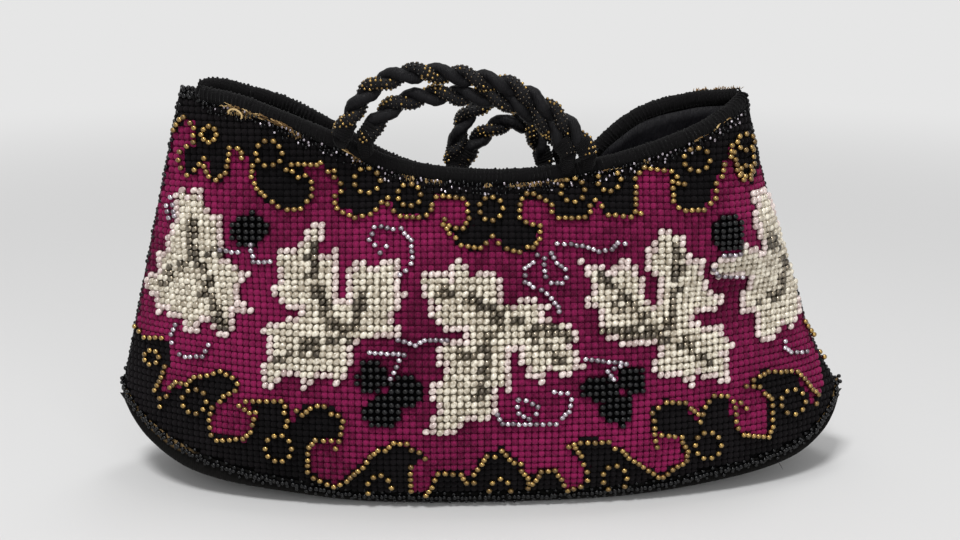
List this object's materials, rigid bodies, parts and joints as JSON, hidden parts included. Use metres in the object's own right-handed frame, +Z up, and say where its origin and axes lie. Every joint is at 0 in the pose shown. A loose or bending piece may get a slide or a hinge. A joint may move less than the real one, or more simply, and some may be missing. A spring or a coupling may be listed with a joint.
{
  "type": "beaded wool-work handbag",
  "caption": "Soft embroidered handbag with a wide curved mouth, boat-shaped base, beaded vine-leaf pattern and short twisted cord handles at front and rear.",
  "frame": {"origin": "on the table, under the middle of the bag's bounding box", "axes": "+Z up, -Y out of the front panel, +X to the right seen from the front"},
  "size_m": [0.2891, 0.0918, 0.1602],
  "materials": {
    "wool_panel": "matt stitched wool",
    "base_cloth": "worn matt cloth",
    "satin_lining": "dark satin",
    "black_border": "matt stitched wool",
    "crystal_beads": "clear and cream glass beads",
    "black_beads": "glossy black glass beads",
    "binding_wool": "matt wool whip stitches",
    "jet_beads": "glossy black glass beads",
    "handle_cord": "black satin cord with metal beads"
  },
  "bodies": {
    "bag": {"front_panel": "wool_panel", "back_panel": "wool_panel", "base_panel": "base_cloth", "lining": "satin_lining", "front_upper_border": "black_border", "back_upper_border": "black_border", "front_lower_border": "black_border", "back_lower_border": "black_border", "front_leaves": "crystal_beads", "back_leaves": "crystal_beads", "front_grapes": "black_beads", "back_grapes": "black_beads", "front_rim_binding": "binding_wool", "back_rim_binding": "binding_wool", "left_seam_edging": "jet_beads", "right_seam_edging": "jet_beads", "front_bottom_edging": "jet_beads", "back_bottom_edging": "jet_beads"},
    "front_handle": {"front_handle_outer_cord": "handle_cord", "front_handle_inner_cord": "handle_cord"},
    "rear_handle": {"rear_handle_outer_cord": "handle_cord", "rear_handle_inner_cord": "handle_cord"}
  },
  "joints": [
    {"name": "front_handle_swing", "type": "hinge", "parent": "bag", "child": "front_handle", "pos_m": [-0.0085, -0.01572, 0.13029], "axis": [0.997, -0.0068, -0.0767], "range_deg": [-12, 130]},
    {"name": "rear_handle_swing", "type": "hinge", "parent": "bag", "child": "rear_handle", "pos_m": [0.00725, 0.01468, 0.11812], "axis": [-0.9972, -0.0719, 0.0225], "range_deg": [-8, 125]}
  ]
}
